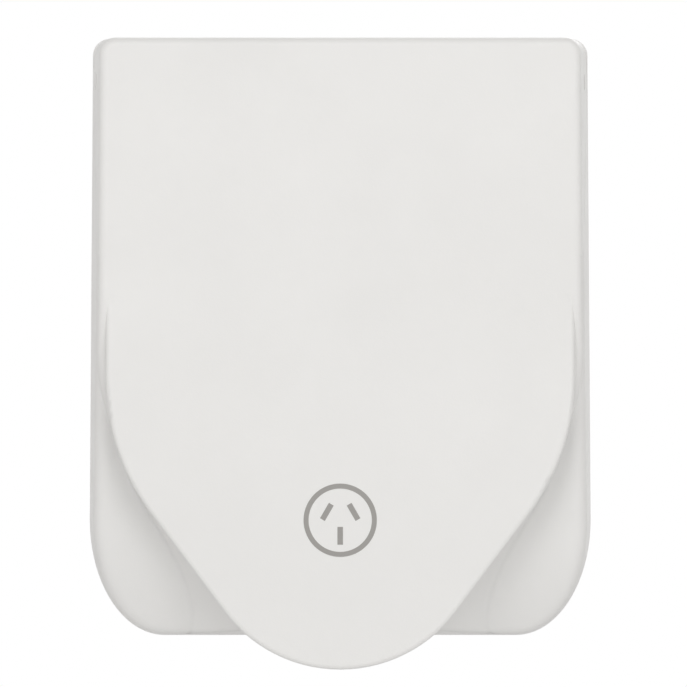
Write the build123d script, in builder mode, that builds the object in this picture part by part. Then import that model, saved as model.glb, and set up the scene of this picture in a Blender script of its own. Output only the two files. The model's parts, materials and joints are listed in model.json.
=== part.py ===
"""Caravan power inlet: a moulded housing with a sprung weather flap over a recessed three-pin well."""
import os
from math import asin, atan2, cos, degrees, hypot, radians, sin, sqrt, tan

from build123d import *

os.makedirs("parts", exist_ok=True)

# Millimetres. The wall face is y = 0, the front is -Y, +Z is up and the origin is on the well's axis.
# Depths are measured from the wall face towards the front, so what stands in the wall cavity is negative.

# Housing
body_top_width = 89.4
body_bottom_width = 90.6
body_height = 107.8
top_corner_radius = 3.0
lower_corner_width = 13.5
lower_corner_height = 20.8
side_draft = 3.3
wall = 2.4
gasket_thickness = 1.5
flange_depth = 4.0
face_depth = 26.0
foot_depth = 7.0
foot_slope_depth = 15.5
foot_slope_rise = 17.9
base_edge_round = 2.5
seam_gap = 0.4

# Flap
flap_thickness = 2.2
cap_edge_round = 1.4
tongue_edge_round = 0.8
skirt_front_z = 6.0
skirt_wall = 2.3
skirt_lap = 9.0
skirt_inset = 1.0
skirt_fade = 16.0
tongue_half_width = 42.2
tongue_shoulder_radius = 41.0
tongue_shoulder_z = -7.3
tongue_tip_radius = 26.1
tongue_overhang = 6.0
lip_width = 1.6
lip_height = 1.8
rib_width = 1.4
rib_gap = 0.8
side_rib_x = 34.0
side_rib_low = -12.0
side_rib_high = 30.0
tip_rib_pitch = 9.0

# Hinge
hinge_depth = 13.5
hinge_drop = 7.9
pin_radius = 1.5
pin_clearance = 0.05
pin_end_recess = 0.4
knuckle_radius = 4.2
knuckle_width = 6.0
knuckle_x = 27.0
lug_width = 3.0
hinge_side_gap = 0.5
spring_wire = 1.0
spring_mean_radius = 3.1
spring_turns = 6
spring_pitch = 1.2
spring_lean = 30.0
spring_flap_leg = 13.5
spring_housing_leg = 6.6
spring_notch_width = 12.0

# Shelf under the flap, which carries the well and the screws
shelf_inset = 1.0
shelf_drop = 16.9
shelf_draft = 14.0
shelf_flare = 0.03
shelf_sections = 6

# Well
well_radius = 25.0
well_wall = 2.6
well_floor = 3.0
well_depth = 22.7
rim_height = 1.0
tube_tail = 2.5
seal_thickness = 2.4
seal_overlap = 1.6
seal_gap = 0.2
seal_keeper = 1.0
seal_keeper_height = 1.6

# Finger scoop under the tongue
scoop_radius = 30.0
scoop_rise = 6.0
scoop_depth = 9.0

# Fixing screws
fixing_spacing_x = 52.0
fixing_spacing_z = 62.0
fixing_hole_radius = 2.3
fixing_boss_radius = 5.8
fixing_head_radius = 4.0
fixing_head_height = 2.6
fixing_sink = 3.0
fixing_sink_clearance = 0.6
fixing_shank_radius = 1.7
fixing_thread_radius = 2.0
fixing_thread_length = 12.8
fixing_point_length = 3.2
fixing_point_inset = 1.6
gasket_hole_radius = 29.0
gasket_inset = 1.0

# Pins, on the standard three-pin pattern
pin_width = 6.3
earth_pin_width = 8.0
pin_thickness = 1.6
pin_reach = 17.0
earth_pin_reach = 20.0
pin_pitch = 13.72
pin_rise = 3.96
earth_drop = 10.31
pin_angle = 30.0
slot_clearance = 0.1

# Carrier and terminals
carrier_radius = 22.2
carrier_thickness = 8.0
carrier_seal_thickness = 0.8
terminal_width = 8.4
terminal_height = 9.0
terminal_length = 11.0
tang_length = 3.5
wire_hole_radius = 2.0
terminal_screw_radius = 1.5
terminal_screw_head_radius = 2.6
terminal_screw_head_height = 1.6
terminal_screw_back = 3.0
carrier_screw_x = 16.5
carrier_screw_z = -9.0
screw_shank_radius = 1.5
screw_head_radius = 2.8
screw_head_height = 2.0
screw_bite = 6.5

# Rear cover
cover_seal_thickness = 1.0
cover_length = 29.0
cover_wall = 2.2
cover_draft = 3.0
cover_rear_round = 4.0
cover_spigot_wall = 2.0
cover_spigot_length = 2.2
cover_spigot_gap = 0.2
cover_screw_x = 18.6
cover_screw_z = 4.0
pillar_radius = 4.3
pillar_wall = 1.2
pillar_floor = 2.5

# Cable gland
gland_z = -9.0
gland_thread_radius = 8.0
gland_flange_radius = 11.0
gland_flange_thickness = 4.0
gland_washer_thickness = 1.0
gland_tail = 9.0
gland_nut_length = 11.0
gland_nut_lap = 6.5
gland_nut_round = 1.2
gland_bore_radius = 6.6
cable_radius = 4.6
fit_clearance = 0.1

pins = {
    "active": (pin_pitch / 2, pin_rise, pin_angle, pin_width, pin_reach),
    "neutral": (-pin_pitch / 2, pin_rise, -pin_angle, pin_width, pin_reach),
    "earth": (0, -earth_drop, 0, earth_pin_width, earth_pin_reach),
}

# Places worked out from the sizes above
front = Plane.XZ
side = Plane(origin=(0, 0, 0), x_dir=(0, -1, 0), z_dir=(-1, 0, 0))
reach = 2 * body_height
body_top = body_height / 2
hinge_z = body_top - hinge_drop
barrel_radius = hinge_drop
shelf_top_z = body_top - shelf_drop
tongue_tip_z = -body_top - tongue_overhang
flap_inner_depth = face_depth - flap_thickness
lip_depth = flap_inner_depth - lip_height
seal_face_depth = flap_inner_depth - seal_thickness
rim_depth = seal_face_depth - seal_gap
shelf_depth = rim_depth - rim_height
floor_depth = rim_depth - well_depth
floor_back = floor_depth - well_floor
tube_radius = well_radius + well_wall
tube_end = floor_back - tube_tail
skirt_inner = tongue_half_width - skirt_inset
hinge_centre = Vector(hinge_depth, hinge_z)
seam_reach = hypot(hinge_depth - face_depth, hinge_z - skirt_front_z)
seam_slope = atan2(hinge_z - skirt_front_z, hinge_depth - face_depth) + asin(barrel_radius / seam_reach)
fixing_places = GridLocations(fixing_spacing_x, fixing_spacing_z, 2, 2)
carrier_front = floor_back - carrier_seal_thickness
carrier_back = carrier_front - carrier_thickness
terminal_back = carrier_back - terminal_length
cover_front = tube_end - cover_seal_thickness
cover_back = cover_front - cover_length
gland_seat = cover_back - gland_washer_thickness
gland_end = gland_seat - gland_flange_thickness - gland_tail
seal_inner = well_radius - seal_overlap
seal_outer = tube_radius + seal_overlap
hinge_pin_half = (body_top_width / 2 - (hinge_depth - gasket_thickness) * tan(radians(side_draft))
                  - pin_end_recess)
knuckle_foot_z = shelf_top_z - shelf_inset
lug_offset = knuckle_width / 2 + hinge_side_gap + lug_width / 2
lug_places = [sign * knuckle_x + offset for sign in (1, -1) for offset in (lug_offset, -lug_offset)]
knuckle_notch = knuckle_width + 2 * hinge_side_gap
barrel_notches = [(knuckle_x, knuckle_notch), (-knuckle_x, knuckle_notch), (0, spring_notch_width)]
carrier_screw_places = Locations((carrier_screw_x, carrier_screw_z), (-carrier_screw_x, carrier_screw_z))
cover_screw_places = Locations((cover_screw_x, cover_screw_z), (-cover_screw_x, cover_screw_z))
gland_places = Locations((0, gland_z))


def body_outline(depth, inset):
    """Outline of the moulding at a depth, drawn in by its draft and by an inset."""
    shrink = inset + (depth - gasket_thickness) * tan(radians(side_draft))
    half_top = body_top_width / 2 - shrink
    half_bottom = body_bottom_width / 2 - shrink
    bottom = shrink - body_height / 2
    corner_width = lower_corner_width - shrink
    corner_height = lower_corner_height - shrink
    corner_centre = (half_bottom - corner_width, bottom + corner_height)
    with BuildSketch(front.offset(depth)) as outline:
        with BuildLine():
            Polyline((0, body_top - inset), (half_top, body_top - inset), (half_bottom, corner_centre[1]))
            corner = EllipticalCenterArc(corner_centre, corner_width, corner_height, 0, arc_size=-90)
            Line(corner @ 1, (0, bottom))
            mirror(about=Plane.YZ)
        make_face()
        fillet(outline.vertices().group_by(Axis.Y)[-1], top_corner_radius)
    return outline.sketch


def tongue_outline(depth, grow, top):
    """Outline of the flap's tongue at a depth, drawn outwards by grow and closed at height top."""
    shoulder_x = tongue_half_width - tongue_shoulder_radius
    tip_centre_z = tongue_tip_z + tongue_tip_radius
    drop = tongue_shoulder_z - tip_centre_z
    narrowing = asin((tongue_shoulder_radius - tongue_tip_radius) / hypot(shoulder_x, drop))
    lean = degrees(atan2(shoulder_x, drop) + narrowing)
    half_width = tongue_half_width + grow
    with BuildSketch(front.offset(depth)) as outline:
        with BuildLine():
            Polyline((0, top), (half_width, top), (half_width, tongue_shoulder_z))
            shoulder = CenterArc(
                (shoulder_x, tongue_shoulder_z), tongue_shoulder_radius + grow, 0, -lean
            )
            tip = CenterArc((0, tip_centre_z), tongue_tip_radius + grow, -lean, lean - 90)
            Line(shoulder @ 1, tip @ 0)
            mirror(about=Plane.YZ)
        make_face()
    return outline.sketch


def seam_ends(gap):
    """Front and rear ends of the straight seam between flap and housing, moved towards the housing."""
    along = Vector(cos(seam_slope), sin(seam_slope))
    front_end = Vector(face_depth, skirt_front_z) + Vector(-along.Y, along.X) * gap
    return front_end, front_end + along * sqrt(seam_reach**2 - barrel_radius**2)


def behind_seam(inset):
    """Side section of all that lies behind the flap: flange, hinge trough and the line of the seam."""
    gap = seam_gap + inset
    seam_front, seam_rear = seam_ends(gap)
    ahead = seam_front + (seam_front - seam_rear)
    trough_radius = barrel_radius + gap
    with BuildSketch(side) as section:
        with BuildLine():
            Polyline(seam_rear, ahead, (ahead.X, -reach), (0, -reach), (0, reach),
                     (flange_depth - inset, reach), (flange_depth - inset, hinge_z),
                     (hinge_depth - trough_radius, hinge_z))
            CenterArc(hinge_centre, trough_radius, 180, degrees(seam_slope) - 90)
        make_face()
    return section.sketch


def behind_front(inset):
    """Side section of all that lies behind the base's front, which bends down to the foot in two arcs."""
    with BuildSketch(side) as section:
        with BuildLine():
            brow = TangentArc((shelf_depth - inset, skirt_front_z),
                              (foot_slope_depth - inset, foot_slope_rise - body_top), tangent=(0, -1))
            slope = TangentArc(brow @ 1, (foot_depth - inset, -body_top), tangent=brow % 1)
            Polyline(slope @ 1, (foot_depth - inset, -reach), (0, -reach), (0, reach),
                     (shelf_depth - inset, reach), brow @ 0)
        make_face()
    return section.sketch


def shelf_form(inset):
    """Shelf whose flanks flare towards the wall in a hollow curve, drawn in by an inset."""
    outlines = []
    for step in range(shelf_sections + 1):
        drop = (shelf_depth - flange_depth) * step / shelf_sections
        spread = drop * tan(radians(shelf_draft)) + shelf_flare * drop**2 - inset
        depth = shelf_depth - inset - drop
        outlines.append(tongue_outline(depth, spread - shelf_inset, shelf_top_z + spread))
    with BuildPart() as form:
        loft([outline.face() for outline in outlines])
    return form.part


def flap_section(grow):
    """Side section of the flap's cap: skirts down to the seam and a barrel round the hinge."""
    seam_front, seam_rear = seam_ends(grow)
    with BuildSketch(side) as section:
        with BuildLine():
            Polyline(seam_rear, seam_front, (reach, seam_front.Y), (reach, body_top + grow),
                     (hinge_depth, body_top + grow))
            CenterArc(hinge_centre, barrel_radius + grow, 90, degrees(seam_slope))
        make_face()
    return section.sketch


def pin_plane(pin, depth):
    """Plane across a pin at a depth: x is the pin's thickness and y its width."""
    x, z, angle = pin[:3]
    return Plane(origin=(x, -depth, z), x_dir=(cos(radians(angle)), 0, sin(radians(angle))),
                 z_dir=(0, -1, 0))


def screw_plane(pin):
    """Plane on the outer face of a pin's terminal, where its clamping screw enters."""
    outward = pin_plane(pin, 0).x_dir * (-1 if pin[0] < 0 else 1)
    foot = Vector(pin[0], -(terminal_back + terminal_screw_back), pin[1])
    return Plane(origin=foot + outward * terminal_height / 2, z_dir=outward)


def pin_slots(depth):
    """Slots for the three pins at a depth, with their clearance."""
    with BuildSketch(front.offset(depth)) as slots:
        for x, z, angle, width, _ in pins.values():
            with Locations(Location((x, z, 0), (0, 0, angle))):
                Rectangle(pin_thickness + 2 * slot_clearance, width + 2 * slot_clearance)
    return slots.sketch


def discs(depth, places, radius):
    """Equal discs at a depth, one at each place."""
    with BuildSketch(front.offset(depth)) as sketch:
        with places:
            Circle(radius)
    return sketch.sketch


# Outer form of the moulding, shared by housing and flap
with BuildPart() as block:
    loft([body_outline(gasket_thickness, 0).face(), body_outline(face_depth, 0).face()], ruled=True)

# Sloping front of the base, rounded along its sides and foot
with BuildPart() as front_form:
    add(block.part)
    extrude(behind_front(0), amount=reach, both=True, mode=Mode.INTERSECT)
    front_faces = [face for face in front_form.faces() if face.normal_at().Y < -0.6]
    front_edges = [edge for face in front_faces for edge in face.edges()]
    border = [edge for edge in front_edges if front_edges.count(edge) == 1]
    fillet(ShapeList(border).sort_by(Axis.Z)[:-1], base_edge_round)

# Shelf under the flap
with BuildPart() as shelf:
    add(shelf_form(0))
    add(block.part, mode=Mode.INTERSECT)

# Hollow of the housing, open to the wall
with BuildPart() as inner_block:
    loft([body_outline(0, wall).face(), body_outline(face_depth, wall).face()], ruled=True)
with BuildPart() as hollow:
    add(inner_block.part)
    extrude(behind_front(wall), amount=reach, both=True, mode=Mode.INTERSECT)
    add(shelf_form(wall))
    add(inner_block.part, mode=Mode.INTERSECT)
    extrude(behind_seam(wall), amount=reach, both=True, mode=Mode.INTERSECT)
    with BuildSketch(front):
        with Locations((0, shelf_top_z - wall)):
            Rectangle(reach, reach, align=(Align.CENTER, Align.MIN))
    extrude(amount=face_depth, mode=Mode.SUBTRACT)
    with BuildSketch(front.offset(scoop_depth - wall)):
        with Locations((0, scoop_rise - body_height / 2 - scoop_radius)):
            Circle(scoop_radius + wall)
    extrude(amount=face_depth, mode=Mode.SUBTRACT)

# Housing
with BuildPart() as base_housing:
    add(front_form.part)
    extrude(behind_seam(0), amount=reach, both=True, mode=Mode.INTERSECT)
    add(shelf.part)
    # Room for the flap's skirts and barrel
    with BuildSketch(side):
        with Locations(hinge_centre):
            Circle(barrel_radius + seam_gap)
    extrude(amount=reach, both=True, mode=Mode.SUBTRACT)
    for direction in (1, -1):
        extrude(flap_section(seam_gap).moved(Location((direction * (skirt_inner - seam_gap), 0, 0))),
                amount=-direction * reach, mode=Mode.SUBTRACT)
    add(hollow.part, mode=Mode.SUBTRACT)
    # Finger scoop under the tongue
    with BuildSketch(front.offset(scoop_depth)):
        with Locations((0, scoop_rise - body_height / 2 - scoop_radius)):
            Circle(scoop_radius)
    extrude(amount=face_depth, mode=Mode.SUBTRACT)
    # Well with its floor, and the tail that the rear cover plugs into
    with BuildSketch(front.offset(tube_end)):
        Circle(tube_radius)
    extrude(amount=rim_depth - tube_end)
    with BuildSketch(front.offset(floor_depth)):
        Circle(well_radius)
    extrude(amount=reach, mode=Mode.SUBTRACT)
    with BuildSketch(front.offset(floor_back)):
        Circle(well_radius)
    extrude(amount=-reach, mode=Mode.SUBTRACT)
    # Screw bosses, counterbored from the shelf
    with BuildSketch(front.offset(gasket_thickness)):
        with fixing_places:
            Circle(fixing_boss_radius)
    extrude(amount=shelf_depth - wall / 2 - gasket_thickness)
    with Locations(front.offset(shelf_depth)):
        with GridLocations(fixing_spacing_x, fixing_spacing_z, 2, 2):
            CounterBoreHole(fixing_hole_radius, fixing_head_radius + fixing_sink_clearance, fixing_sink)
    # Hinge knuckles
    with BuildSketch(side.offset(knuckle_x), side.offset(-knuckle_x)):
        with Locations(hinge_centre):
            Circle(knuckle_radius)
        with BuildLine():
            Polyline(
                (hinge_depth + knuckle_radius, hinge_z),
                (hinge_depth + knuckle_radius, knuckle_foot_z),
                (gasket_thickness, knuckle_foot_z),
                (gasket_thickness, hinge_z - knuckle_radius),
                (hinge_depth - knuckle_radius / 2, hinge_z - knuckle_radius * 0.7),
                close=True,
            )
        make_face()
    extrude(amount=knuckle_width / 2, both=True)
    with BuildSketch(side):
        with Locations(hinge_centre):
            Circle(pin_radius + pin_clearance)
    extrude(amount=reach, both=True, mode=Mode.SUBTRACT)
    # Holes in the floor of the well
    extrude(pin_slots(floor_back), amount=well_floor, mode=Mode.SUBTRACT)
    extrude(discs(floor_back, carrier_screw_places, screw_shank_radius + fit_clearance),
            amount=well_floor, mode=Mode.SUBTRACT)

# Flap: a cap with skirts round the hinge, and a lipped tongue
with BuildPart() as tongue:
    extrude(tongue_outline(flap_inner_depth, 0, skirt_front_z + skirt_lap), amount=flap_thickness)
    rim_edges = tongue.faces().sort_by(Axis.Y)[0].edges()
    fillet(rim_edges.sort_by(Axis.Z)[:-1], tongue_edge_round)
    extrude(tongue_outline(lip_depth, 0, skirt_front_z + skirt_lap), amount=lip_height)
    extrude(tongue_outline(lip_depth, -lip_width, reach), amount=lip_height, mode=Mode.SUBTRACT)
with BuildPart() as lid:
    add(block.part)
    extrude(flap_section(0), amount=reach, both=True, mode=Mode.INTERSECT)
    # The skirts draw in to the tongue's width at their lower ends
    with BuildSketch(front):
        with BuildLine():
            fade = Spline((tongue_half_width, skirt_front_z), (body_top_width / 2, skirt_front_z + skirt_fade),
                          tangents=((0, 1), (0, 1)))
            Polyline(fade @ 1, (reach, skirt_front_z + skirt_fade), (reach, -reach),
                     (tongue_half_width, -reach), fade @ 0)
        make_face()
        mirror(about=Plane.YZ)
    extrude(amount=reach, mode=Mode.SUBTRACT)
    cap_edges = lid.faces().sort_by(Axis.Y)[0].edges()
    fillet(cap_edges.sort_by(Axis.Z)[1:], cap_edge_round)
    # Hollow of the cap, open behind and below
    with BuildSketch(side):
        with BuildLine():
            Polyline(
                (hinge_depth - barrel_radius + skirt_wall, hinge_z),
                (-reach, hinge_z),
                (-reach, -reach),
                (flap_inner_depth, -reach),
                (flap_inner_depth, body_top - skirt_wall),
                (hinge_depth, body_top - skirt_wall),
            )
            CenterArc(hinge_centre, barrel_radius - skirt_wall, 90, 90)
        make_face()
    extrude(amount=skirt_inner, both=True, mode=Mode.SUBTRACT)
    # Notches in the barrel for the knuckles and the spring
    for notch_x, notch_width in barrel_notches:
        with BuildSketch(side.offset(notch_x)):
            with Locations((hinge_depth + 1, hinge_z)):
                Rectangle(reach, reach, align=(Align.MAX, Align.CENTER))
        extrude(amount=notch_width / 2, both=True, mode=Mode.SUBTRACT)
    add(tongue.part)
    # Keepers that hold the seal
    for keeper_radius in (seal_inner - seal_keeper, seal_outer):
        with BuildSketch(front.offset(flap_inner_depth - seal_keeper_height)):
            Circle(keeper_radius + seal_keeper)
            Circle(keeper_radius, mode=Mode.SUBTRACT)
        extrude(amount=seal_keeper_height)
    # Stiffening ribs, clear of the shelf
    with BuildSketch(front.offset(shelf_depth + rib_gap)):
        for x in (side_rib_x, -side_rib_x):
            with Locations((x, side_rib_low)):
                Rectangle(rib_width, side_rib_high - side_rib_low, align=(Align.CENTER, Align.MIN))
    extrude(amount=flap_inner_depth - shelf_depth - rib_gap)
    with BuildSketch(front.offset(lip_depth)):
        for x in (0, tip_rib_pitch, -tip_rib_pitch):
            with Locations((x, -seal_outer)):
                Rectangle(rib_width, reach, align=(Align.CENTER, Align.MAX))
        add(tongue_outline(lip_depth, -lip_width / 2, 0), mode=Mode.INTERSECT)
    extrude(amount=lip_height)
    # Lugs beside the knuckles
    with BuildSketch(*[side.offset(x) for x in lug_places]):
        with Locations(hinge_centre):
            Circle(knuckle_radius)
        with BuildLine():
            Polyline(
                (hinge_depth - pin_radius, hinge_z),
                (hinge_depth - pin_radius, body_top - skirt_wall / 2),
                (face_depth - flap_thickness / 2, body_top - skirt_wall / 2),
                (face_depth - flap_thickness / 2, hinge_z - knuckle_radius),
                (hinge_depth, hinge_z - knuckle_radius),
                close=True,
            )
        make_face()
    extrude(amount=lug_width / 2, both=True)
    with BuildSketch(side):
        with Locations(hinge_centre):
            Circle(pin_radius + pin_clearance)
    extrude(amount=reach, both=True, mode=Mode.SUBTRACT)

with BuildPart() as lid_seal:
    with BuildSketch(front.offset(seal_face_depth)):
        Circle(seal_outer)
        Circle(seal_inner, mode=Mode.SUBTRACT)
    extrude(amount=seal_thickness)

with BuildPart() as hinge_pin:
    with BuildSketch(side):
        with Locations(hinge_centre):
            Circle(pin_radius)
    extrude(amount=hinge_pin_half, both=True)
    chamfer(hinge_pin.edges(), pin_end_recess)

# Spring: a coil round the pin, one leg under the flap and one in the trough of the housing
with BuildLine() as spring_path:
    coil = Helix(spring_pitch, spring_pitch * (spring_turns + 1 - (180 + 2 * spring_lean) / 360),
                 spring_mean_radius)
    Line((coil @ 0) - (coil % 0) * spring_housing_leg, coil @ 0)
    Line(coil @ 1, (coil @ 1) + (coil % 1) * spring_flap_leg)
spring_half = spring_pitch * spring_turns / 2
spring_plane = Plane(
    origin=(-spring_half, -hinge_depth, hinge_z),
    x_dir=(0, cos(radians(spring_lean)), sin(radians(spring_lean))),
    z_dir=(1, 0, 0),
)
with BuildPart() as hinge_spring:
    spring_wire_path = spring_path.wire().moved(spring_plane.location)
    with BuildSketch(Plane(origin=spring_wire_path @ 0, z_dir=spring_wire_path % 0)):
        Circle(spring_wire / 2)
    sweep(path=spring_wire_path, is_frenet=True)

# Wall gasket
with BuildPart() as flange_gasket:
    extrude(body_outline(gasket_thickness, gasket_inset), amount=-gasket_thickness)
    with BuildSketch(front):
        Circle(gasket_hole_radius)
        with fixing_places:
            Circle(fixing_hole_radius)
    extrude(amount=gasket_thickness, mode=Mode.SUBTRACT)

# Fixing screws, with pointed ends in the wall
with BuildPart() as fixing_screws:
    with BuildSketch(front.offset(shelf_depth - fixing_sink)):
        with fixing_places:
            Circle(fixing_head_radius)
    extrude(amount=fixing_head_height)
    fillet(fixing_screws.faces().group_by(Axis.Y)[0].edges(), fixing_head_height / 2)
    extrude(discs(0, fixing_places, fixing_shank_radius), amount=shelf_depth - fixing_sink)
    extrude(discs(0, fixing_places, fixing_thread_radius), amount=-fixing_thread_length)
    chamfer(fixing_screws.faces().group_by(Axis.Y)[-1].edges(), fixing_point_length, fixing_point_inset)

# Pins
pin_parts = {}
for pin_name, pin in pins.items():
    with BuildPart() as contact:
        with BuildSketch(pin_plane(pin, carrier_back - tang_length)):
            Rectangle(pin_thickness, pin[3])
        extrude(amount=floor_depth + pin[4] - carrier_back + tang_length)
        chamfer(contact.faces().sort_by(Axis.Y)[0].edges(), pin_thickness * 0.3)
    pin_parts[pin_name + "_pin"] = contact.part

# Terminals, slotted for the pins' tails in front and drilled for the wires behind
for pin_name, pin in pins.items():
    with BuildPart() as terminal:
        with BuildSketch(pin_plane(pin, terminal_back)):
            Rectangle(terminal_height, terminal_width)
        extrude(amount=terminal_length)
        fillet(terminal.edges().filter_by(Axis.Y), 0.6)
        with BuildSketch(pin_plane(pin, terminal_back)):
            Circle(wire_hole_radius)
        extrude(amount=terminal_length - tang_length, mode=Mode.SUBTRACT)
        with BuildSketch(pin_plane(pin, carrier_back)):
            Rectangle(pin_thickness + 2 * slot_clearance, pin[3] + 2 * slot_clearance)
        extrude(amount=-tang_length, mode=Mode.SUBTRACT)
        with BuildSketch(screw_plane(pin)):
            Circle(terminal_screw_radius + slot_clearance)
        extrude(amount=-terminal_height / 2, mode=Mode.SUBTRACT)
    pin_parts[pin_name + "_terminal"] = terminal.part

with BuildPart() as terminal_screws:
    for pin in pins.values():
        with BuildSketch(screw_plane(pin)):
            Circle(terminal_screw_radius)
        extrude(amount=wire_hole_radius - terminal_height / 2)
        with BuildSketch(screw_plane(pin)):
            Circle(terminal_screw_head_radius)
        extrude(amount=terminal_screw_head_height)

# Carrier that holds the pins, and its rubber sheet
with BuildPart() as pin_carrier:
    with BuildSketch(front.offset(carrier_back)):
        Circle(carrier_radius)
    extrude(amount=carrier_thickness)
    chamfer(pin_carrier.faces().sort_by(Axis.Y)[-1].edges(), 0.8)
    extrude(pin_slots(carrier_back), amount=carrier_thickness, mode=Mode.SUBTRACT)
    extrude(discs(carrier_front - screw_bite, carrier_screw_places, screw_shank_radius + fit_clearance),
            amount=screw_bite, mode=Mode.SUBTRACT)
    extrude(discs(carrier_back, cover_screw_places, screw_shank_radius + fit_clearance),
            amount=screw_bite, mode=Mode.SUBTRACT)

with BuildPart() as carrier_seal:
    with BuildSketch(front.offset(carrier_front)):
        Circle(carrier_radius)
    extrude(amount=carrier_seal_thickness)
    extrude(pin_slots(carrier_front), amount=carrier_seal_thickness, mode=Mode.SUBTRACT)
    extrude(discs(carrier_front, carrier_screw_places, screw_shank_radius + fit_clearance),
            amount=carrier_seal_thickness, mode=Mode.SUBTRACT)


def pan_screws(seat, places, length):
    """Pan-head screws seated at a depth; a negative length drives them towards the wall cavity."""
    head = screw_head_height if length < 0 else -screw_head_height
    with BuildPart() as screws:
        with BuildSketch(front.offset(seat)):
            with places:
                Circle(screw_head_radius)
        extrude(amount=head)
        with BuildSketch(front.offset(seat)):
            with places:
                Circle(screw_shank_radius)
        extrude(amount=length)
    return screws.part


carrier_screws = pan_screws(floor_depth, carrier_screw_places, carrier_front - screw_bite - floor_depth)
cover_screws = pan_screws(carrier_back - pillar_floor, cover_screw_places, pillar_floor + screw_bite)

# Rear cover with its spigot, screw pillars and cable hole
with BuildPart() as rear_cover:
    with BuildSketch(front.offset(cover_front)):
        Circle(tube_radius)
    extrude(amount=-cover_length, taper=cover_draft)
    fillet(rear_cover.faces().sort_by(Axis.Y)[-1].edges(), cover_rear_round)
    with BuildSketch(front.offset(cover_front - cover_wall)):
        Circle(tube_radius - cover_wall)
    extrude(amount=2 * cover_wall - cover_length, taper=cover_draft, mode=Mode.SUBTRACT)
    with BuildSketch(front.offset(cover_front - cover_wall)):
        Circle(well_radius - cover_spigot_gap)
        Circle(well_radius - cover_spigot_gap - cover_spigot_wall, mode=Mode.SUBTRACT)
    extrude(amount=cover_wall + cover_seal_thickness + cover_spigot_length)
    with BuildSketch(front.offset(cover_front)):
        Circle(well_radius - cover_spigot_gap - cover_spigot_wall)
    extrude(amount=-cover_wall, mode=Mode.SUBTRACT)
    with BuildSketch(front.offset(carrier_back)):
        with cover_screw_places:
            Circle(pillar_radius)
    extrude(amount=cover_back + cover_wall / 2 - carrier_back)
    extrude(discs(cover_back, cover_screw_places, pillar_radius - pillar_wall),
            amount=carrier_back - pillar_floor - cover_back, mode=Mode.SUBTRACT)
    extrude(discs(cover_back, cover_screw_places, screw_shank_radius + fit_clearance),
            amount=cover_length, mode=Mode.SUBTRACT)
    extrude(discs(cover_back, gland_places, gland_thread_radius + fit_clearance),
            amount=2 * cover_wall, mode=Mode.SUBTRACT)

with BuildPart() as cover_seal:
    with BuildSketch(front.offset(cover_front)):
        Circle(tube_radius)
        Circle(well_radius, mode=Mode.SUBTRACT)
    extrude(amount=cover_seal_thickness)

# Cable gland: washer, hexagonal body, rubber bush and nut
with BuildPart() as gland_washer:
    with BuildSketch(front.offset(cover_back)):
        with gland_places:
            Circle(gland_flange_radius)
            Circle(gland_thread_radius + fit_clearance, mode=Mode.SUBTRACT)
    extrude(amount=-gland_washer_thickness)
with BuildPart() as gland_body:
    with BuildSketch(front.offset(gland_seat)):
        with gland_places:
            Circle(gland_thread_radius)
    extrude(amount=gland_washer_thickness + cover_wall + gland_tail / 3)
    with BuildSketch(front.offset(gland_seat)):
        with gland_places:
            RegularPolygon(gland_flange_radius, 6)
    extrude(amount=-gland_flange_thickness)
    with BuildSketch(front.offset(gland_seat - gland_flange_thickness)):
        with gland_places:
            Circle(gland_thread_radius)
    extrude(amount=-gland_tail)
    extrude(discs(gland_end, gland_places, gland_bore_radius), amount=reach, mode=Mode.SUBTRACT)
with BuildPart() as gland_seal:
    with BuildSketch(front.offset(gland_end)):
        with gland_places:
            Circle(gland_bore_radius - fit_clearance)
            Circle(cable_radius, mode=Mode.SUBTRACT)
    extrude(amount=gland_tail + gland_flange_thickness)
with BuildPart() as gland_nut:
    with BuildSketch(front.offset(gland_end + gland_nut_lap)):
        with gland_places:
            RegularPolygon(gland_flange_radius - fit_clearance * 5, 6)
    extrude(amount=-gland_nut_length)
    fillet(gland_nut.faces().sort_by(Axis.Y)[-1].edges(), gland_nut_round)
    extrude(discs(gland_end, gland_places, gland_thread_radius + fit_clearance),
            amount=gland_nut_lap, mode=Mode.SUBTRACT)
    extrude(discs(gland_end - gland_nut_length, gland_places, cable_radius + fit_clearance * 8),
            amount=gland_nut_length, mode=Mode.SUBTRACT)

pieces = {
    "base_housing": base_housing.part,
    "lid": lid.part,
    "lid_seal": lid_seal.part,
    "hinge_pin": hinge_pin.part,
    "hinge_spring": hinge_spring.part,
    "flange_gasket": flange_gasket.part,
    "fixing_screws": fixing_screws.part,
    "pin_carrier": pin_carrier.part,
    "carrier_seal": carrier_seal.part,
    "carrier_screws": carrier_screws,
    "terminal_screws": terminal_screws.part,
    "rear_cover": rear_cover.part,
    "cover_seal": cover_seal.part,
    "cover_screws": cover_screws,
    "gland_washer": gland_washer.part,
    "gland_body": gland_body.part,
    "gland_seal": gland_seal.part,
    "gland_nut": gland_nut.part,
    **pin_parts,
}
for piece_name, piece in pieces.items():
    piece.label = piece_name
    export_step(piece, f"parts/{piece_name}.step")
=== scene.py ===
"""Looks of the caravan power inlet, and the fine forms that its solids leave out.

The scene adds the finishes, threads and cross recesses of the screws, the wound spring, the gland's thread,
the lower ends of the flap's skirts, a printed sign, ejector marks and the studio. Sizes are in millimetres
unless a comment says otherwise. The origin lies on the wall's face, y runs into the wall, and a depth is
measured from the wall outwards.
"""
import json
from math import ceil, cos, pi, radians, sin, sqrt

import bmesh
import bpy
from mathutils import Matrix, Vector


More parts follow.
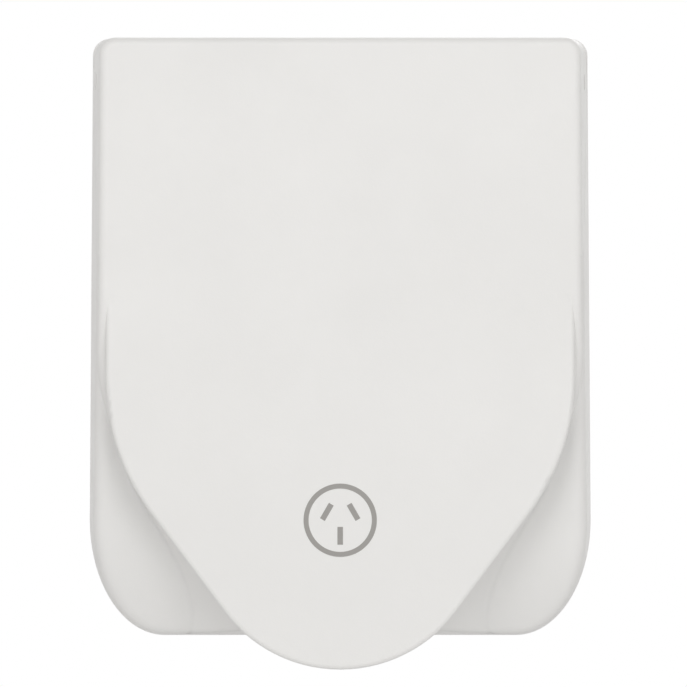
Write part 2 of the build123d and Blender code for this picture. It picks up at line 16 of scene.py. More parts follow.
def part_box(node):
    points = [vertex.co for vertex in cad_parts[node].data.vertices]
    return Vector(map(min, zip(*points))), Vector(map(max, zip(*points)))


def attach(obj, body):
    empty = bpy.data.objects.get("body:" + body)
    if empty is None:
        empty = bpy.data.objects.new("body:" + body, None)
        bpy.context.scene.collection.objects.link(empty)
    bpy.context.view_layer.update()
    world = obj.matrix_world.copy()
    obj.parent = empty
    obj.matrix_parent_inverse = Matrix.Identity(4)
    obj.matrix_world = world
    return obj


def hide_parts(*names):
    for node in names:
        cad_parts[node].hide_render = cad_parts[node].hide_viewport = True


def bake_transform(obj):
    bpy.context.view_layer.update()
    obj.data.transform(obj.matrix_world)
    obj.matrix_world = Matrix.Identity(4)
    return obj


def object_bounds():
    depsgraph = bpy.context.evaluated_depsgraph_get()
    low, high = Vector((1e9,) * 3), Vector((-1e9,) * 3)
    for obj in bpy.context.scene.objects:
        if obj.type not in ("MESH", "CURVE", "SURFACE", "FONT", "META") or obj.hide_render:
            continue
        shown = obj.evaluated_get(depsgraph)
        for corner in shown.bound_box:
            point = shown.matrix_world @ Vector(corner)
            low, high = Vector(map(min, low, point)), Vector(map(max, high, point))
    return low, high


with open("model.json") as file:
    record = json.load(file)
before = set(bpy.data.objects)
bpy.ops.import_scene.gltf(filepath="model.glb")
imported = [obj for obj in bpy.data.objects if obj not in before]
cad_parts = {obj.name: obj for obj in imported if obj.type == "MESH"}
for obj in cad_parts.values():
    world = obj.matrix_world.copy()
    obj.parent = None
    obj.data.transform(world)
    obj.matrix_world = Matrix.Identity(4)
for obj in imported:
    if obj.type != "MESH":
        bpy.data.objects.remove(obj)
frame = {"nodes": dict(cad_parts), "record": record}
cad_low, cad_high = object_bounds()
nodes = frame["nodes"]
MM = 0.001

# The photograph's frame: 687 pixels, seen straight from the front, with the camera's distance in metres
IMAGE_PIXELS = 687
MM_PER_PIXEL = 0.18
AXIS_PIXEL_X = 340.2
AXIS_PIXEL_Y = 336.9
CAMERA_DISTANCE = 5.0
SENSOR_WIDTH = 36.0


def make_camera():
    """Long lens square to the flap's face, framed as the photograph is."""
    face_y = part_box("lid")[0].y
    view_width = IMAGE_PIXELS * MM_PER_PIXEL * MM
    data = bpy.data.cameras.new("camera")
    data.sensor_width = SENSOR_WIDTH
    data.lens = SENSOR_WIDTH * CAMERA_DISTANCE / view_width
    camera = bpy.data.objects.new("camera", data)
    middle_x = (IMAGE_PIXELS / 2 - AXIS_PIXEL_X) * MM_PER_PIXEL * MM
    middle_z = (AXIS_PIXEL_Y - IMAGE_PIXELS / 2) * MM_PER_PIXEL * MM
    camera.location = (middle_x, face_y - CAMERA_DISTANCE, middle_z)
    camera.rotation_euler = (pi / 2, 0, 0)
    bpy.context.scene.collection.objects.link(camera)
    bpy.context.scene.camera = camera


make_camera()

# Soft lights: name, place and side in metres, power in watts
LIGHTS = [
    ("key_light_left", (-0.5, -1.65, 0.5), 0.8, 6.0),
    ("key_light_right", (0.5, -1.65, 0.5), 0.8, 6.0),
    ("back_light", (0.5, 1.5, 1.0), 1.2, 9.0),
]


def area_light(name, place, side, power):
    """A square soft light at a place, turned to the part."""
    data = bpy.data.lights.new(name, "AREA")
    data.shape = "SQUARE"
    data.size = side
    data.energy = power
    light = bpy.data.objects.new(name, data)
    light.location = place
    light.visible_camera = False
    light.rotation_mode = "QUATERNION"
    light.rotation_quaternion = (-Vector(place)).to_track_quat("-Z", "Y")
    bpy.context.scene.collection.objects.link(light)


for light_values in LIGHTS:
    area_light(*light_values)

AMBIENT_STRENGTH = 0.53
AMBIENT_COLOUR = (1, 0.982, 0.962, 1)
WHITE = (1, 1, 1, 1)


def combined(tree, operation, first, second):
    """Output of a node that works out one value from two."""
    made = tree.nodes.new("ShaderNodeMath")
    made.operation = operation
    tree.links.new(first, made.inputs[0])
    tree.links.new(second, made.inputs[1])
    return made.outputs[0]


def white_to_the_eye(tree, surface, output):
    """Camera, glossy and transmission rays see plain white in place of a surface."""
    rays = tree.nodes.new("ShaderNodeLightPath").outputs
    seen = combined(tree, "MAXIMUM", rays["Is Camera Ray"], rays["Is Glossy Ray"])
    seen = combined(tree, "MAXIMUM", seen, rays["Is Transmission Ray"])
    white = tree.nodes.new("ShaderNodeBackground")
    white.inputs["Color"].default_value = WHITE
    white.inputs["Strength"].default_value = 1.0
    mix = tree.nodes.new("ShaderNodeMixShader")
    tree.links.new(seen, mix.inputs[0])
    tree.links.new(surface, mix.inputs[1])
    tree.links.new(white.outputs[0], mix.inputs[2])
    tree.links.new(mix.outputs[0], output)


def make_world():
    """Even light from all round, and a white background."""
    world = bpy.data.worlds.new("studio")
    bpy.context.scene.world = world
    world.use_nodes = True
    tree = world.node_tree
    ambient = tree.nodes["Background"]
    ambient.inputs["Color"].default_value = AMBIENT_COLOUR
    ambient.inputs["Strength"].default_value = AMBIENT_STRENGTH
    white_to_the_eye(tree, ambient.outputs[0], tree.nodes["World Output"].inputs["Surface"])


make_world()

# Floor, with its gap and side in metres
FLOOR_GAP = 0.025
FLOOR_SIDE = 3.0
FLOOR_COLOUR = (0.93, 0.93, 0.93, 1)
FLOOR_ROUGHNESS = 0.9


def make_floor():
    """Pale floor a little below the part, which hangs on a wall in use."""
    bpy.ops.mesh.primitive_plane_add(size=FLOOR_SIDE, location=(0, 0, cad_low.z - FLOOR_GAP))
    floor_plane = bpy.context.object
    floor_plane.name = "floor"
    finish = bpy.data.materials.new("pale_floor")
    finish.use_nodes = True
    shader = finish.node_tree.nodes["Principled BSDF"]
    shader.inputs["Base Color"].default_value = FLOOR_COLOUR
    shader.inputs["Roughness"].default_value = FLOOR_ROUGHNESS
    floor_plane.data.materials.append(finish)


make_floor()
bpy.context.scene.view_settings.view_transform = "Standard"

# Blended creases: how far the blend fades in along the height and along the depth
CREASE_SAMPLES = 8
CREASE_FADE_HEIGHT = 4.0
CREASE_FADE_DEPTH = 1.0


class Finish:
    """A node material whose colour, roughness and bump each vary over the surface."""

    def __init__(self, name, metallic=0.0):
        self.material = bpy.data.materials.new(name)
        self.material.use_nodes = True
        self.tree = self.material.node_tree
        self.shader = self.tree.nodes["Principled BSDF"]
        self.shader.inputs["Metallic"].default_value = metallic
        self.place = self.tree.nodes.new("ShaderNodeTexCoord").outputs["Object"]
        self.normal = None

    def node(self, kind, **values):
        """A new node with its input sockets set by name."""
        made = self.tree.nodes.new(kind)
        for socket, value in values.items():
            made.inputs[socket.replace("_", " ")].default_value = value
        return made

    def stretched(self, stretch):
        """Texture coordinates drawn out along an axis, for drawn or brushed marks."""
        mapping = self.node("ShaderNodeMapping", Scale=stretch)
        self.tree.links.new(self.place, mapping.inputs["Vector"])
        return mapping.outputs["Vector"]

    def noise(self, size, detail=2.0, stretch=None):
        """Noise with features of a size."""
        made = self.node("ShaderNodeTexNoise", Scale=1 / (size * MM), Detail=detail)
        vector = self.place if stretch is None else self.stretched(stretch)
        self.tree.links.new(vector, made.inputs["Vector"])
        return made.outputs["Fac"]

    def spread(self, value, low, high, start=0.3, end=0.7):
        """A value's range from start to end, mapped to low and high."""
        made = self.node("ShaderNodeMapRange", From_Min=start, From_Max=end, To_Min=low, To_Max=high)
        self.tree.links.new(value, made.inputs["Value"])
        return made.outputs["Result"]

    def colours(self, value, first, second):
        """Base colour between two tones."""
        mix = self.tree.nodes.new("ShaderNodeMix")
        mix.data_type = "RGBA"
        self.tree.links.new(self.spread(value, 0, 1), mix.inputs["Factor"])
        mix.inputs["A"].default_value = (*first, 1)
        mix.inputs["B"].default_value = (*second, 1)
        self.tree.links.new(mix.outputs["Result"], self.shader.inputs["Base Color"])

    def roughness(self, value, low, high):
        """Roughness between two levels."""
        self.tree.links.new(self.spread(value, low, high), self.shader.inputs["Roughness"])

    def soften(self, radius, front_depth, rear_depth, top):
        """Blends the creases below a height and between two depths, as a blunt mould leaves them."""
        bevel = self.node("ShaderNodeBevel", Radius=radius * MM)
        bevel.samples = CREASE_SAMPLES
        axes = self.tree.nodes.new("ShaderNodeSeparateXYZ")
        self.tree.links.new(self.place, axes.inputs["Vector"])
        front, rear, fade = -front_depth * MM, -rear_depth * MM, CREASE_FADE_DEPTH * MM
        below = self.spread(axes.outputs["Z"], 1, 0, (top - CREASE_FADE_HEIGHT) * MM, top * MM)
        before = self.spread(axes.outputs["Y"], 1, 0, rear - fade, rear)
        behind = self.spread(axes.outputs["Y"], 0, 1, front, front + fade)
        weight = combined(self.tree, "MULTIPLY", combined(self.tree, "MULTIPLY", below, before), behind)
        mix = self.tree.nodes.new("ShaderNodeMix")
        mix.data_type = "VECTOR"
        self.tree.links.new(weight, mix.inputs["Factor"])
        self.tree.links.new(self.tree.nodes.new("ShaderNodeNewGeometry").outputs["Normal"], mix.inputs["A"])
        self.tree.links.new(bevel.outputs["Normal"], mix.inputs["B"])
        self.normal = mix.outputs["Result"]

    def bump(self, value, height):
        """Relief of a height, added to any before it."""
        made = self.node("ShaderNodeBump", Distance=height * MM)
        self.tree.links.new(value, made.inputs["Height"])
        if self.normal:
            self.tree.links.new(self.normal, made.inputs["Normal"])
        self.normal = made.outputs["Normal"]
        self.tree.links.new(self.normal, self.shader.inputs["Normal"])


def moulded(name, light, dark, rough=(0.42, 0.54), grain=0.35, relief=0.012, creases=None):
    """Injection-moulded plastic: a faint mottle, satin patches, slight waves and fine tool texture."""
    made = Finish(name)
    if creases:
        made.soften(**creases)
    made.colours(made.noise(size=28, detail=3), light, dark)
    made.roughness(made.noise(size=9), *rough)
    made.bump(made.noise(size=34, detail=1), height=0.05)
    made.bump(made.noise(grain, detail=3), relief)
    made.shader.inputs["IOR"].default_value = 1.5
    return made


def rubber(name, light, dark):
    """Moulded rubber: matte, with a bloom in patches."""
    made = Finish(name)
    made.colours(made.noise(size=6, detail=4), light, dark)
    made.roughness(made.noise(size=3), low=0.58, high=0.78)
    made.bump(made.noise(size=0.6, detail=4), height=0.03)
    made.shader.inputs["Sheen Weight"].default_value = 0.15
    return made


def foam(name, light, dark, cell=0.7):
    """Closed-cell foam: small round cells."""
    made = Finish(name)
    cells = made.node("ShaderNodeTexVoronoi", Scale=1 / (cell * MM))
    made.tree.links.new(made.place, cells.inputs["Vector"])
    made.colours(made.noise(size=1.5, detail=3), light, dark)
    made.roughness(made.noise(size=2), low=0.8, high=0.95)
    made.bump(cells.outputs["Distance"], height=0.12)
    return made


def metal(name, light, dark, rough, stretch, marks=0.25, relief=0.006):
    """Metal with faint tarnish and fine marks, which stretch draws out along an axis or leaves even."""
    made = Finish(name, metallic=1.0)
    made.colours(made.noise(size=5, detail=4), light, dark)
    made.roughness(made.noise(marks, detail=3, stretch=stretch), *rough)
    made.bump(made.noise(marks, detail=3, stretch=stretch), relief)
    return made


# Finishes of the record's slots: two tones, a range of roughness, and for metal how its marks are drawn out
ALONG_X = (0.05, 1, 1)
ALONG_Y = (1, 0.05, 1)
EVEN = (1, 1, 1)
WHITE_LIGHT = (0.813, 0.81, 0.799)
WHITE_DARK = (0.793, 0.79, 0.779)
finishes = {
    "white_moulding": moulded("white_moulding", WHITE_LIGHT, WHITE_DARK),
    "seal_rubber": rubber("seal_rubber", (0.035, 0.035, 0.037), (0.022, 0.022, 0.024)),
    "gasket_foam": foam("gasket_foam", (0.055, 0.055, 0.057), (0.035, 0.035, 0.037)),
    "stainless_steel": metal("stainless_steel", (0.66, 0.65, 0.63), (0.56, 0.55, 0.54), (0.2, 0.36), ALONG_X),
    "spring_steel": metal("spring_steel", (0.55, 0.55, 0.55), (0.45, 0.45, 0.46), (0.22, 0.4), EVEN),
    "carrier_plastic": moulded("carrier_plastic", (0.52, 0.5, 0.45), (0.48, 0.46, 0.42), (0.5, 0.62)),
    "cover_plastic": moulded("cover_plastic", (0.5, 0.5, 0.485), (0.46, 0.46, 0.45), (0.5, 0.64),
                             grain=0.5, relief=0.02),
    "gland_plastic": moulded("gland_plastic", (0.46, 0.47, 0.48), (0.43, 0.44, 0.45), (0.34, 0.46)),
    "pin_brass": metal("pin_brass", (0.78, 0.58, 0.28), (0.68, 0.48, 0.22), (0.16, 0.32), ALONG_Y),
    "terminal_brass": metal("terminal_brass", (0.7, 0.52, 0.26), (0.58, 0.41, 0.19), (0.24, 0.42), EVEN),
}
for subpart in frame["record"]["subparts"]:
    node = nodes[subpart["node"]]
    node.data.materials.clear()
    node.data.materials.append(finishes[subpart["material_slot"]].material)

# The housing's white has blended creases where its flanks meet the front, and the sign has an ink of its own
BASE_CREASES = {"radius": 1.8, "front_depth": 19.5, "rear_depth": 4.6, "top": -4.0}
base_finish = moulded("white_moulding_base", WHITE_LIGHT, WHITE_DARK, creases=BASE_CREASES)
nodes["base_housing"].data.materials[0] = base_finish.material
finishes["printed_grey"] = moulded("printed_grey", (0.335, 0.325, 0.31), (0.315, 0.305, 0.29), (0.5, 0.6))

# Forms are pairs of points and faces, in millimetres. A turned form has RING_STEPS points a ring,
# and a thread has THREAD_ROWS rings a pitch
RING_STEPS = 36
THREAD_ROWS = 12


def turns(steps):
    """Angles of a full turn in even steps."""
    return [2 * pi * step / steps for step in range(steps)]


def circle(radius, along, steps=RING_STEPS):
    """Points of a circle about +Y."""
    return [Vector((radius * cos(turn), along, radius * sin(turn))) for turn in turns(steps)]


def skinned(points, count):
    """A closed form over rings of count points, with a face over the first ring and one over the last."""
    faces = []
    last = len(points) - count
    for first in range(0, last, count):
        for step in range(count):
            here, after = first + step, first + (step + 1) % count
            faces.append((here, after, after + count, here + count))
    faces.append(tuple(reversed(range(count))))
    faces.append(tuple(range(last, last + count)))
    return points, faces


def turned(rings, pitch=1.0):
    """A closed form turned about +Y, from rings of (along, radius, ridge); ridge is a thread's height."""
    points = []
    for along, radius, ridge in rings:
        for turn in turns(RING_STEPS):
            reach = radius + ridge * (0.5 + 0.5 * cos(2 * pi * along / pitch - turn))
            points.append(Vector((reach * cos(turn), along, reach * sin(turn))))
    return skinned(points, RING_STEPS)


def wire(path, radius, steps=14):
    """A closed round wire along a path of points."""
    points, side = [], Vector((0, 0, 1))
    for index, point in enumerate(path):
        along = (path[min(index + 1, len(path) - 1)] - path[max(index - 1, 0)]).normalized()
        side = (side - along * side.dot(along)).normalized()
        across = along.cross(side)
        points += [point + (side * cos(turn) + across * sin(turn)) * radius for turn in turns(steps)]
    return skinned(points, steps)


def flat_ring(outer, inner, near, far, steps=72):
    """A closed flat ring from y = near to y = far."""
    points, faces = [], []
    for radius, along in ((outer, near), (outer, far), (inner, far), (inner, near)):
        points += circle(radius, along, steps)
    for band in range(4):
        here, there = band * steps, (band + 1) % 4 * steps
        for step in range(steps):
            after = (step + 1) % steps
            faces.append((here + step, here + after, there + after, there + step))
    return points, faces


def prism(outline, near, far, taper=1.0):
    """A closed form over an outline in x and z, from y = near to y = far, where it is scaled by taper."""
    count = len(outline)
    points = [Vector((x, near, z)) for x, z in outline]
    points += [Vector((x * taper, far, z * taper)) for x, z in outline]
    faces = [tuple(reversed(range(count))), tuple(range(count, 2 * count))]
    for corner in range(count):
        after = (corner + 1) % count
        faces.append((corner, after, after + count, corner + count))
    return points, faces


def bar(length, width):
    """Outline of a bar centred on the origin."""
    x, z = width / 2, length / 2
    return [(-x, -z), (x, -z), (x, z), (-x, z)]


def joined(shapes):
    """Several shapes as one."""
    points, faces = [], []
    for shape_points, shape_faces in shapes:
        first = len(points)
        points += shape_points
        faces += [tuple(first + corner for corner in face) for face in shape_faces]
    return points, faces


def placed(shape, matrices):
    """Copies of a shape, one for each matrix, as one shape."""
    points, faces = shape
    return joined([([matrix @ point for point in points], faces) for matrix in matrices])


def at(x, z, lean=0):
    """Matrix that leans a form about +Y, in degrees, and moves it along the wall."""
    return Matrix.Translation((x, 0, z)) @ Matrix.Rotation(radians(lean), 4, "Y")


def mesh_object(name, shape, scale=1.0):
    """An object from a shape, with its faces turned outwards."""
    points, faces = shape
    mesh = bpy.data.meshes.new(name)
    mesh.from_pydata([point * scale for point in points], [], faces)
    form = bmesh.new()
    form.from_mesh(mesh)
    bmesh.ops.recalc_face_normals(form, faces=form.faces)
    form.to_mesh(mesh)
    form.free()
    made = bpy.data.objects.new(name, mesh)
    bpy.context.scene.collection.objects.link(made)
    return made


def cut(shape, cutters):
    """A shape with the room of its cutters taken out."""
    blank = mesh_object("blank", shape)
    tools = [mesh_object("cutter", cutter) for cutter in cutters]
    for tool in tools:
        modifier = blank.modifiers.new("cut", "BOOLEAN")
        modifier.operation = "DIFFERENCE"
        modifier.solver = "EXACT"
        modifier.object = tool
    mesh = bpy.data.meshes.new_from_object(blank.evaluated_get(bpy.context.evaluated_depsgraph_get()))
    left = [vertex.co.copy() for vertex in mesh.vertices], [tuple(face.vertices) for face in mesh.polygons]
    for done in [blank, *tools]:
        bpy.data.objects.remove(done)
    return left


def add_piece(name, shape, slot_name, sharp_angle=35, stands_for=()):
    """A finished piece from a shape in millimetres."""
    made = mesh_object(name, shape, MM)
    made.data.shade_smooth()
    made.data.set_sharp_from_angle(angle=radians(sharp_angle))
    made.data.materials.append(finishes[slot_name].material)
    if stands_for:
        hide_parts(*stands_for)
    return made


# Screws: heads are radius and height, cross recesses are length, width and depth
HEAD_STEPS = 9
RECESS_LEAD = 0.4
RECESS_TAPER = 0.65


def cross_recess(head_top, length, width, depth):
    """Two crossed blades, tapered inwards, that cut a cross recess in a head."""
    outlines = bar(length, width), bar(width, length)
    return [prism(outline, head_top - RECESS_LEAD, head_top + depth, RECESS_TAPER) for outline in outlines]


def pan_head(radius, height):
    """Rings of a rounded head whose seat is at 0, from its top to the edge of its underside."""
    flat, rim = 0.3 * radius, 0.2 * height
    rings = []
    for step in range(HEAD_STEPS + 1):
        turn = pi / 2 * step / HEAD_STEPS
        rings.append((-rim - (height - rim) * cos(turn), flat + (radius - flat) * sin(turn), 0))
    return rings + [(0, radius, 0)]


def screw_places(spots, depth, angles, facing=1):
    """Matrices for screws at spots (x, z) and a depth; facing -1 turns a screw round to enter from behind."""
    matrices = []
    for (x, z), angle in zip(spots, angles):
        spin = Matrix.Rotation(radians(angle), 4, "Y")
        if facing < 0:
            spin = Matrix.Rotation(pi, 4, "Z") @ spin
        matrices.append(Matrix.Translation((x, -depth, z)) @ spin)
    return matrices


def add_screws(node_name, shape, places):
    """A group of threaded screws that stands for the plain ones of a node."""
    screws = add_piece(f"threaded_{node_name}", placed(shape, places), "stainless_steel",
                       stands_for=[node_name])
    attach(screws, "housing")


# Fixing screws: pan head, plain shank through the housing, then a thread down to a point in the wall
FIXING_SPOTS = [(x, z) for x in (-26, 26) for z in (-31, 31)]
FIXING_SEAT_DEPTH = 17.2
FIXING_HEAD = (4.0, 2.6)
FIXING_RECESS = (4.2, 1.1, 1.7)
FIXING_SHANK_RADIUS = 1.7
FIXING_SHANK_END = 0.6
FIXING_THREAD = {"length": 12.8, "pitch": 1.4, "core": 1.4, "ridge": 0.6, "run_in": 1.5}
FIXING_POINT = {"length": 3.2, "radius": 0.12, "fade": 0.6}


def fixing_screw():
    """One fixing screw, its seat at 0 and its point along +Y."""
    thread, point = FIXING_THREAD, FIXING_POINT
    rings = pan_head(*FIXING_HEAD)
    rings += [(0, FIXING_SHANK_RADIUS, 0), (FIXING_SEAT_DEPTH - FIXING_SHANK_END, FIXING_SHANK_RADIUS, 0)]
    rows = ceil(thread["length"] * THREAD_ROWS / thread["pitch"])
    for row in range(rows + 1):
        along = thread["length"] * row / rows
        rise = min(1.0, along / thread["run_in"])
        share = min(1.0, (thread["length"] - along) / point["length"])
        core = point["radius"] + (thread["core"] - point["radius"]) * share
        rings.append((FIXING_SEAT_DEPTH + along, core, thread["ridge"] * rise * share ** point["fade"]))
    return cut(turned(rings, thread["pitch"]), cross_recess(-FIXING_HEAD[1], *FIXING_RECESS))


add_screws("fixing_screws", fixing_screw(),
           screw_places(FIXING_SPOTS, FIXING_SEAT_DEPTH, angles=(12, 57, 80, 33)))

# Machine screws of the carrier and the rear cover: threaded all the way, seated behind the wall's face
MACHINE_HEAD = (2.8, 2.0)
MACHINE_RECESS = (3.2, 0.85, 1.3)
MACHINE_SHANK_RADIUS = 1.5
MACHINE_THREAD = {"pitch": 1.0, "ridge": 0.35, "run_in": 1.0, "run_out": 0.6}
CARRIER_SPOTS = [(16.5, -9.0), (-16.5, -9.0)]
CARRIER_SCREW_LENGTH, CARRIER_SEAT_DEPTH = 10.3, -1.5
COVER_SPOTS = [(18.6, 4.0), (-18.6, 4.0)]
COVER_SCREW_LENGTH, COVER_SEAT_DEPTH = 9.0, -15.8


def machine_screw(length):
    """A pan-head screw threaded all the way, its seat at 0 and its end along +Y."""
    thread = MACHINE_THREAD
    rings = pan_head(*MACHINE_HEAD)
    rings.append((0, MACHINE_SHANK_RADIUS, 0))
    rows = ceil(length * THREAD_ROWS / thread["pitch"])
    for row in range(rows + 1):
        along = length * row / rows
        ease = min(1.0, along / thread["run_in"], (length - along) / thread["run_out"])
        rings.append((along, MACHINE_SHANK_RADIUS - thread["ridge"], thread["ridge"] * ease))
    return cut(turned(rings, thread["pitch"]), cross_recess(-MACHINE_HEAD[1], *MACHINE_RECESS))


add_screws("carrier_screws", machine_screw(CARRIER_SCREW_LENGTH),
           screw_places(CARRIER_SPOTS, CARRIER_SEAT_DEPTH, angles=(20, 65)))
add_screws("cover_screws", machine_screw(COVER_SCREW_LENGTH),
           screw_places(COVER_SPOTS, COVER_SEAT_DEPTH, angles=(40, 5), facing=-1))

# Spring: a coil of round wire whose legs press on the housing and on the flap.
SPRING_WIRE_RADIUS = 0.5
SPRING_TURNS = 19 / 3
SPRING_PITCH = 1.2
SPRING_RADIUS = 3.1
SPRING_START = Vector((-3.6, -13.5, 46.0))
SPRING_LEAN = radians(30)
COIL_STEPS = 30
HOUSING_LEG_LENGTH, HOUSING_LEG_STEPS = 6.6, 5
FLAP_LEG_LENGTH, FLAP_LEG_STEPS = 13.5, 9


def spring_path():
    """Points along the spring's wire, from the end of the housing leg to the end of the flap leg."""
    out = Vector((0, cos(SPRING_LEAN), sin(SPRING_LEAN)))
    up = Vector((0, -sin(SPRING_LEAN), cos(SPRING_LEAN)))
    coil = []
    samples = ceil(SPRING_TURNS * COIL_STEPS)
    for sample in range(samples + 1):
        turn = SPRING_TURNS * sample / samples
        angle = 2 * pi * turn
        coil.append(SPRING_START + (out * cos(angle) + up * sin(angle)) * SPRING_RADIUS
                    + Vector((SPRING_PITCH * turn, 0, 0)))
    lead = Vector((SPRING_PITCH / (2 * pi), 0, 0))
    first = (up * SPRING_RADIUS + lead).normalized()
    end_angle = 2 * pi * SPRING_TURNS
    last = ((up * cos(end_angle) - out * sin(end_angle)) * SPRING_RADIUS + lead).normalized()
    housing_leg = [coil[0] - first * HOUSING_LEG_LENGTH * step / HOUSING_LEG_STEPS
                   for step in range(HOUSING_LEG_STEPS, 0, -1)]
    flap_leg = [coil[-1] + last * FLAP_LEG_LENGTH * step / FLAP_LEG_STEPS
                for step in range(1, FLAP_LEG_STEPS + 1)]
    return housing_leg + coil + flap_leg


spring = add_piece("wound_spring", wire(spring_path(), SPRING_WIRE_RADIUS), "spring_steel", sharp_angle=50,
                   stands_for=["hinge_spring"])
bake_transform(spring)

# Thread of the gland between its flange and its nut
GLAND_Z = -9.0
GLAND_RADIUS = 8.02
GLAND_THREAD = {"root": 0.05, "ridge": 0.45, "pitch": 1.5, "near": 42.05, "far": 44.45}


def gland_thread():
    """A short sleeve with a thread round the gland's body."""
    thread = GLAND_THREAD
    length = thread["far"] - thread["near"]
    rows = ceil(length * THREAD_ROWS / thread["pitch"])
    rings = [(thread["near"] + length * row / rows, GLAND_RADIUS + thread["root"], thread["ridge"])
             for row in range(rows + 1)]
    outer, faces = turned(rings, thread["pitch"])
    inner = circle(GLAND_RADIUS, rings[0][0]) + circle(GLAND_RADIUS, rings[-1][0])
    faces = faces[:-2]
    edge = rows * RING_STEPS
    first, last = len(outer), len(outer) + RING_STEPS
    for step in range(RING_STEPS):
        after = (step + 1) % RING_STEPS
        faces.append((step, after, first + after, first + step))
        faces.append((edge + step, edge + after, last + after, last + step))
        faces.append((first + step, first + after, last + after, last + step))
    return outer + inner, faces


gland = add_piece("gland_thread", placed(gland_thread(), [at(0, GLAND_Z)]), "gland_plastic")
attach(gland, "housing")

# The moulding's drafted sides, which spread a little towards the foot
TOP_HALF_WIDTH, SIDE_SPREAD = 44.7, 0.6
SIDE_TOP, SIDE_HEIGHT = 53.9, 87.1
SIDE_DRAFT = 0.05766
GASKET_THICKNESS = 1.5
# The tongue's edge, an arc below its shoulders
TONGUE_CENTRE_X, TONGUE_SHOULDER_Z, TONGUE_RADIUS = 1.2, -7.3, 41.0
# The seam leans back from its foot on the flap's face, and below that foot the housing's front bends back
FACE_DEPTH = 26.0
SHELF_DEPTH = 20.2
SEAM_FOOT_Z, SEAM_SLOPE = 6, 1.86
BEND_FLATNESS = 376
BORDER_ROUND = 2.5


def side_x(z, depth):
    """Half width of the moulding's drafted side at a height and depth."""
    at_wall = TOP_HALF_WIDTH + SIDE_SPREAD * (SIDE_TOP - z) / SIDE_HEIGHT
    return at_wall - (depth - GASKET_THICKNESS) * SIDE_DRAFT


def tongue_x(z):
    """Half width of the flap's tongue at a height."""
    below = min(0.0, z - TONGUE_SHOULDER_Z)
    return TONGUE_CENTRE_X + sqrt(TONGUE_RADIUS**2 - below**2)


def housing_depth(x, z):
    """Depth of the housing's front beside the tongue, with its rounded border and the slanted seam."""
    front = SHELF_DEPTH - min(0.0, z - SEAM_FOOT_Z) ** 2 / BEND_FLATNESS
    past = min(BORDER_ROUND, max(0.0, x - side_x(z, front) + BORDER_ROUND))
    rounded = front - BORDER_ROUND + sqrt(BORDER_ROUND**2 - past**2)
    return min(rounded, FACE_DEPTH - (z - SEAM_FOOT_Z) / SEAM_SLOPE)


# Lower ends of the flap's skirts: a long wedge beside the tongue, over the housing's rounded border
SKIRT_TOP, SKIRT_SHOULDER, SKIRT_TIP = 16.8, 8.0, -17.0
SKIRT_EASE = 0.25
SKIRT_ROUND, SKIRT_ROUND_SHARE = 1.4, 0.9
SKIRT_STATIONS, SKIRT_ARC_STEPS = 96, 8
SKIN = 0.01
REST_GAP = 0.12
TIP_THICKNESS = 0.25
# How far a skirt's end reaches in behind the tongue's edge, and what is taken off that between two heights
TONGUE_LAP, LAP_CUT = 1.7, 1.1
LAP_CUT_TOP, LAP_CUT_FOOT = 4.0, 0.0
# Height from which a skirt's side draws in to the tongue, and how far its tip stands out from it
DRAW_IN_TOP = -2.0
TIP_OVERHANG = 0.1


def eased(value, start, end):
    """How far a value is from start to end, from 0 to 1 with soft ends."""
    share = min(1.0, max(0.0, (value - start) / (end - start)))
    return share * share * (3 - 2 * share)


def skirt_front(z):
    """Depth of a skirt end's front at a height: level with the flap's face, then sloping to the tip."""
    share = max(0.0, (SKIRT_SHOULDER - z) / (SKIRT_SHOULDER - SKIRT_TIP))
    ramp = share**2 / (2 * SKIRT_EASE) if share < SKIRT_EASE else share - SKIRT_EASE / 2
    face = FACE_DEPTH + SKIN
    tip = housing_depth(0, SKIRT_TIP) + REST_GAP + TIP_THICKNESS
    return face - (face - tip) * ramp / (1 - SKIRT_EASE / 2)


def skirt_section(z):
    """Closed section of a skirt's end at a height, as half widths and depths."""
    depth = skirt_front(z)
    inner = tongue_x(z) - TONGUE_LAP + LAP_CUT * eased(z, LAP_CUT_TOP, LAP_CUT_FOOT)
    outer = side_x(z, depth) + SKIN
    outer += (tongue_x(z) + TIP_OVERHANG - outer) * eased(z, DRAW_IN_TOP, SKIRT_TIP)
    wall_foot = housing_depth(outer, z) + REST_GAP
    radius = min(SKIRT_ROUND, (depth - wall_foot) * SKIRT_ROUND_SHARE)
    section = [(inner, depth)]
    for step in range(SKIRT_ARC_STEPS + 1):
        turn = pi / 2 * step / SKIRT_ARC_STEPS
        section.append((outer - radius + radius * sin(turn), depth - radius + radius * cos(turn)))
    for step in range(SKIRT_ARC_STEPS + 1):
        x = outer + (inner - outer) * (step / SKIRT_ARC_STEPS) ** 2
        section.append((x, housing_depth(x, z) + REST_GAP))
    return section


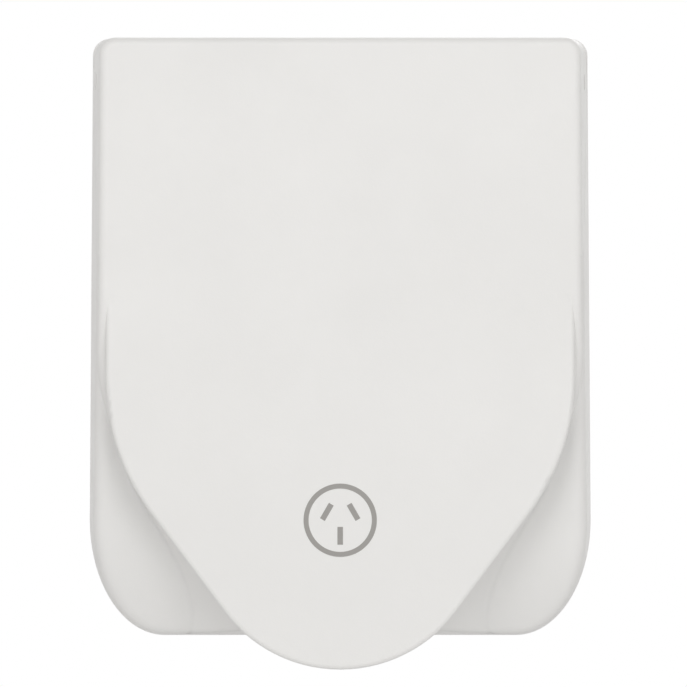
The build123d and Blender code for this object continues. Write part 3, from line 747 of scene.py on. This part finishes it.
def skirt_end(hand):
    """One skirt's end in sections from the cap down to its tip."""
    points = []
    for station in range(SKIRT_STATIONS + 1):
        z = SKIRT_TOP + (SKIRT_TIP - SKIRT_TOP) * station / SKIRT_STATIONS
        points += [Vector((hand * x, -depth, z)) for x, depth in skirt_section(z)]
    return skinned(points, len(points) // (SKIRT_STATIONS + 1))


for hand, side_name in ((-1, "left"), (1, "right")):
    skirt = add_piece(f"skirt_end_{side_name}", skirt_end(hand), "white_moulding", sharp_angle=40)
    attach(skirt, "flap")

# Printed sign on the flap: a plain socket face, a ring with three bars at (x, z, lean in degrees)
SIGN_X, SIGN_Z = 0.0, -33.0
SIGN_THICKNESS, SIGN_SINK = 0.03, 0.005
SIGN_OUTER_RADIUS, SIGN_INNER_RADIUS = 6.6, 5.7
SIGN_BAR = (3.2, 1.0)
SIGN_BAR_PLACES = [(-2.4, 1.5, 30), (2.4, 1.5, -30), (0, -2.8, 0)]


def sign_form():
    """The sign's ring and bars, a hair proud of the flap's face."""
    near, far = -FACE_DEPTH - SIGN_THICKNESS, -FACE_DEPTH + SIGN_SINK
    bars = placed(prism(bar(*SIGN_BAR), near, far), [at(*place) for place in SIGN_BAR_PLACES])
    ring = flat_ring(SIGN_OUTER_RADIUS, SIGN_INNER_RADIUS, near, far)
    return placed(joined([ring, bars]), [at(SIGN_X, SIGN_Z)])


sign = add_piece("printed_sign", sign_form(), "printed_grey")
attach(sign, "flap")

# Ejector-pin witness marks inside the flap: flat rings between two values of y
EJECTOR_SPOTS = [(-38, 34), (38, 34), (-38, -6), (38, -6), (-12, 38), (12, 38), (0, 0), (-4.5, -44),
                 (4.5, -44)]
EJECTOR_OUTER_RADIUS, EJECTOR_INNER_RADIUS = 2.1, 1.95
EJECTOR_NEAR, EJECTOR_FAR = -23.8, -23.77
ejector_ring = flat_ring(EJECTOR_OUTER_RADIUS, EJECTOR_INNER_RADIUS, EJECTOR_NEAR, EJECTOR_FAR, steps=40)
marks = add_piece("ejector_marks", placed(ejector_ring, [at(x, z) for x, z in EJECTOR_SPOTS]),
                  "white_moulding")
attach(marks, "flap")
